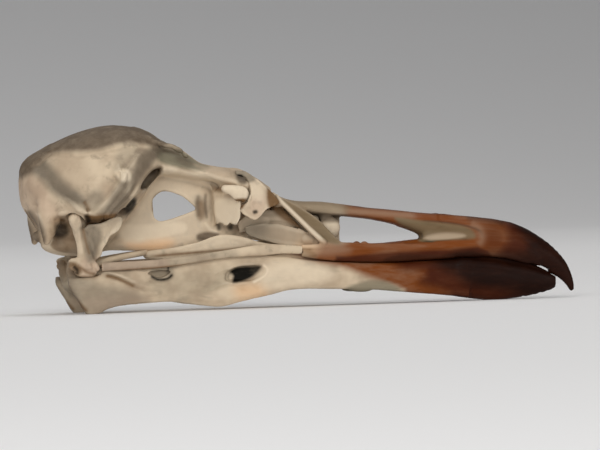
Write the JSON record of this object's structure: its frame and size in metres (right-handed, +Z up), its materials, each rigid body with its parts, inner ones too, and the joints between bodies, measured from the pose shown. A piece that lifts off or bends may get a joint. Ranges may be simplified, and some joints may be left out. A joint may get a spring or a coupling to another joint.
{
  "type": "bird skull",
  "caption": "Gull skull with its lower jaw closed and a long hooked bill, a still life-size model that stands on its lower jaw.",
  "frame": {"origin": "on the floor under the middle of the whole skull's box", "axes": "+X forward along the bill, +Y to the animal's left, +Z up; the skull stands on the two back corners and the front of its lower jaw"},
  "size_m": [0.1241, 0.033, 0.0416],
  "materials": {
    "bone": "dry cream to tan bone, greyer and stained in the hollows",
    "pale_bone": "dry pale thin bone with a slight sheen",
    "stained_bill": "bone with remains of the horn sheath, tan at its back and satin red-brown to black at the hook"
  },
  "bodies": {
    "root": {"cranium": "bone", "upper_bill": "stained_bill", "mandible": "bone", "vomer": "pale_bone", "quadrate_right": "bone", "jugal_bar_right": "pale_bone", "pterygoid_right": "pale_bone", "palatine_right": "pale_bone", "lacrimal_right": "pale_bone", "quadrate_left": "bone", "jugal_bar_left": "pale_bone", "pterygoid_left": "pale_bone", "palatine_left": "pale_bone", "lacrimal_left": "pale_bone"}
  },
  "joints": []
}
